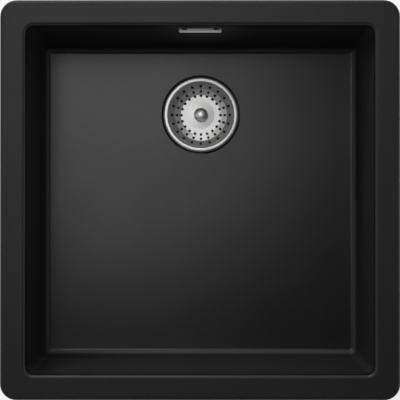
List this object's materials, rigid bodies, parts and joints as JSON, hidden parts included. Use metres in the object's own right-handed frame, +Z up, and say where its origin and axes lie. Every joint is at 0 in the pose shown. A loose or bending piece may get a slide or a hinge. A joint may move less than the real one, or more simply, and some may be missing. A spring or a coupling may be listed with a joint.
{
  "type": "single bowl kitchen sink",
  "caption": "Square black stone composite kitchen sink with a single deep bowl, lift-out steel strainer waste, overflow on the back wall with pipe, and swivel fixing clips under the rim.",
  "frame": {"origin": "centre of the sink on the plane of the rim's underside, where it rests on the worktop", "axes": "+X right, +Y towards the back wall with the overflow, +Z up out of the bowl"},
  "size_m": [0.456, 0.456, 0.2862],
  "materials": {
    "stone_composite": "matt black quartz composite with a fine grain",
    "drain_steel": "polished ring, satin cup",
    "strainer_steel": "satin pressed sheet",
    "knob_chrome": "polished",
    "cover_steel": "brushed sheet",
    "screw_steel": "plain stainless",
    "clip_steel": "bright zinc plate",
    "insert_brass": "turned",
    "waste_plastic": "moulded white polypropylene",
    "nut_plastic": "moulded white polypropylene",
    "black_rubber": "matt"
  },
  "bodies": {
    "sink": {"bowl": "stone_composite", "flange_seal": "black_rubber", "drain_flange": "drain_steel", "body_gasket": "black_rubber", "waste_body": "waste_plastic", "flange_screws": "screw_steel", "overflow_cover": "cover_steel", "overflow_screws": "screw_steel", "overflow_gasket": "black_rubber", "overflow_housing": "waste_plastic", "overflow_o_ring": "black_rubber", "overflow_pipe": "waste_plastic", "pipe_seal": "black_rubber", "pipe_nut": "nut_plastic", "clip_inserts": "insert_brass", "clip_screws": "clip_steel"},
    "strainer": {"strainer_basket": "strainer_steel", "strainer_knob": "knob_chrome", "strainer_stem": "screw_steel", "stopper_plate": "screw_steel", "stopper_seal": "black_rubber", "stopper_nut": "screw_steel"},
    "clip_front_left": {"clip_front_left": "clip_steel"},
    "clip_front_right": {"clip_front_right": "clip_steel"},
    "clip_back_left": {"clip_back_left": "clip_steel"},
    "clip_back_right": {"clip_back_right": "clip_steel"},
    "clip_left_front": {"clip_left_front": "clip_steel"},
    "clip_left_back": {"clip_left_back": "clip_steel"},
    "clip_right_front": {"clip_right_front": "clip_steel"},
    "clip_right_back": {"clip_right_back": "clip_steel"}
  },
  "joints": [
    {"name": "strainer_lift", "type": "slide", "parent": "sink", "child": "strainer", "axis": [0, 0, 1], "range_m": [0, 0.26]},
    {"name": "clip_front_left_turn", "type": "hinge", "parent": "sink", "child": "clip_front_left", "pos_m": [-0.11, -0.21235, -0.04725], "axis": [0, 0, 1], "range_deg": [0, 90]},
    {"name": "clip_front_right_turn", "type": "hinge", "parent": "sink", "child": "clip_front_right", "pos_m": [0.11, -0.21235, -0.04725], "axis": [0, 0, -1], "range_deg": [0, 90]},
    {"name": "clip_back_left_turn", "type": "hinge", "parent": "sink", "child": "clip_back_left", "pos_m": [-0.11, 0.21235, -0.04725], "axis": [0, 0, -1], "range_deg": [0, 90]},
    {"name": "clip_back_right_turn", "type": "hinge", "parent": "sink", "child": "clip_back_right", "pos_m": [0.11, 0.21235, -0.04725], "axis": [0, 0, 1], "range_deg": [0, 90]},
    {"name": "clip_left_front_turn", "type": "hinge", "parent": "sink", "child": "clip_left_front", "pos_m": [-0.21251, -0.11, -0.04725], "axis": [0, 0, -1], "range_deg": [0, 90]},
    {"name": "clip_left_back_turn", "type": "hinge", "parent": "sink", "child": "clip_left_back", "pos_m": [-0.21251, 0.11, -0.04725], "axis": [0, 0, 1], "range_deg": [0, 90]},
    {"name": "clip_right_front_turn", "type": "hinge", "parent": "sink", "child": "clip_right_front", "pos_m": [0.21251, -0.11, -0.04725], "axis": [0, 0, 1], "range_deg": [0, 90]},
    {"name": "clip_right_back_turn", "type": "hinge", "parent": "sink", "child": "clip_right_back", "pos_m": [0.21251, 0.11, -0.04725], "axis": [0, 0, -1], "range_deg": [0, 90]}
  ]
}
